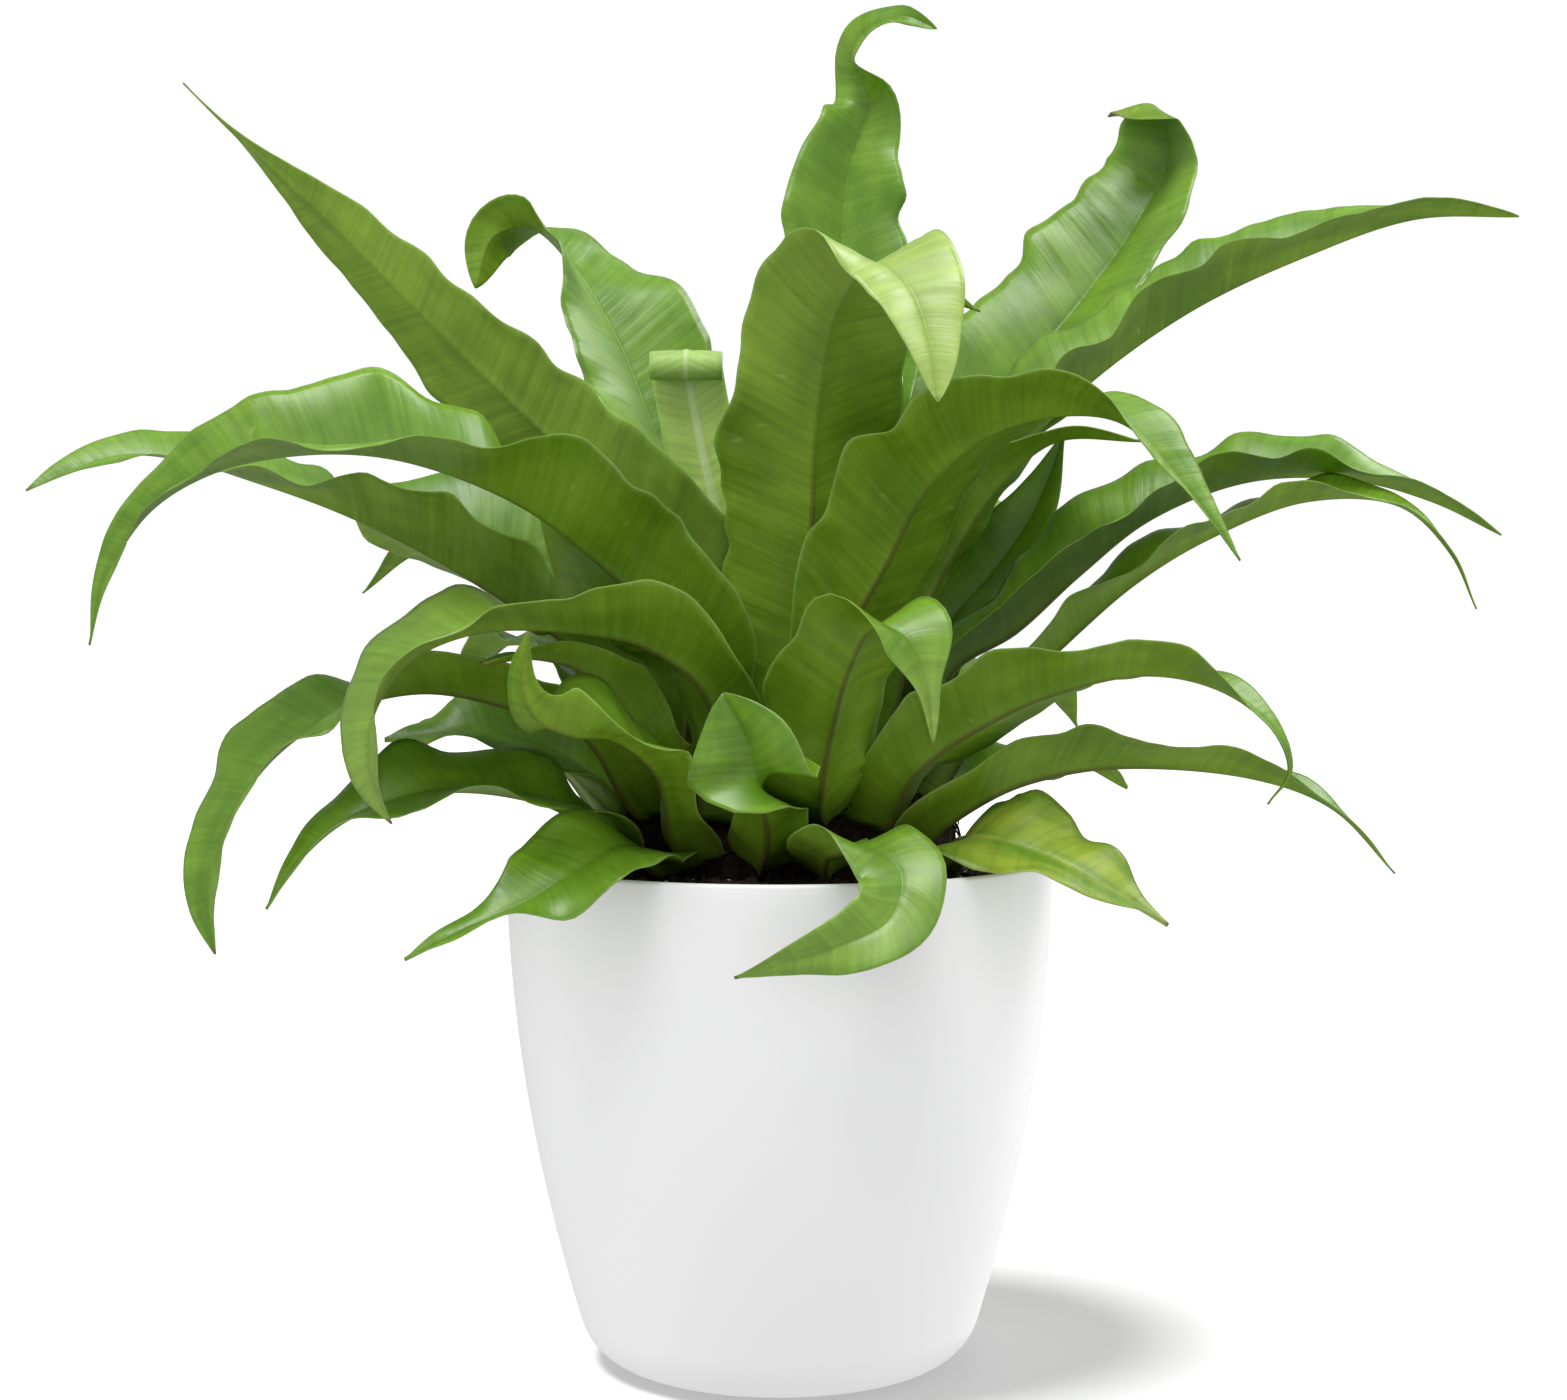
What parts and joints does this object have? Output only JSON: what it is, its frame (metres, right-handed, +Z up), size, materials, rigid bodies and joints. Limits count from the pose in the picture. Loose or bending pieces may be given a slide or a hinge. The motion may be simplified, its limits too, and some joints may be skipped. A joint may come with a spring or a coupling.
{
  "type": "potted bird's-nest fern",
  "caption": "Bird's-nest fern with long wavy arching fronds in a round white tapered pot filled with dark potting soil.",
  "frame": {"origin": "centre of the pot's underside", "axes": "+Z up along the pot's axis, -Y towards the plant's front, +X to the right seen from the front"},
  "size_m": [0.4878, 0.3333, 0.4557],
  "materials": {
    "pot_white": "satin moulded",
    "potting_soil": null,
    "root_crown": "dark, scaly and fibrous",
    "leaf_green": null,
    "leaf_young": "waxy satin leaf, pale new growth",
    "leaf_old": "satin leaf turning yellow"
  },
  "bodies": {
    "root": {"pot": "pot_white", "soil": "potting_soil", "crown": "root_crown", "frond_upper_left": "leaf_green", "frond_back_left": "leaf_green", "frond_centre": "leaf_green", "frond_back_tall": "leaf_green", "frond_back_small": "leaf_green", "frond_back_right": "leaf_green", "frond_right_long": "leaf_green", "frond_front_right_arch": "leaf_green", "frond_right_slim": "leaf_green", "frond_right_short": "leaf_green", "frond_left_trough": "leaf_green", "frond_far_left": "leaf_green", "frond_left_glossy": "leaf_green", "frond_right_mid": "leaf_green", "frond_right_under": "leaf_green", "frond_front_right_low": "leaf_green", "frond_right_low": "leaf_green", "frond_rim_right": "leaf_old", "frond_front_tall": "leaf_green", "frond_front_short": "leaf_green", "frond_rim_front": "leaf_green", "frond_front_left_arch": "leaf_green", "frond_left_drooping": "leaf_green", "frond_left_streaked": "leaf_green", "frond_left_low": "leaf_green", "frond_left_small": "leaf_green", "frond_rim_left": "leaf_green", "frond_front_left_twisted": "leaf_green", "frond_rear_right": "leaf_green", "frond_rear_middle": "leaf_green", "frond_rear_left": "leaf_green", "frond_rear_far_left": "leaf_green", "frond_rear_upright": "leaf_green", "frond_rear_short_left": "leaf_green", "frond_rear_short_right": "leaf_green", "frond_rear_low_right": "leaf_green", "frond_rear_low_middle": "leaf_green", "frond_rear_low_left": "leaf_green", "frond_rear_low_far_left": "leaf_green", "crozier_left": "leaf_young", "crozier_right": "leaf_young"}
  },
  "joints": []
}
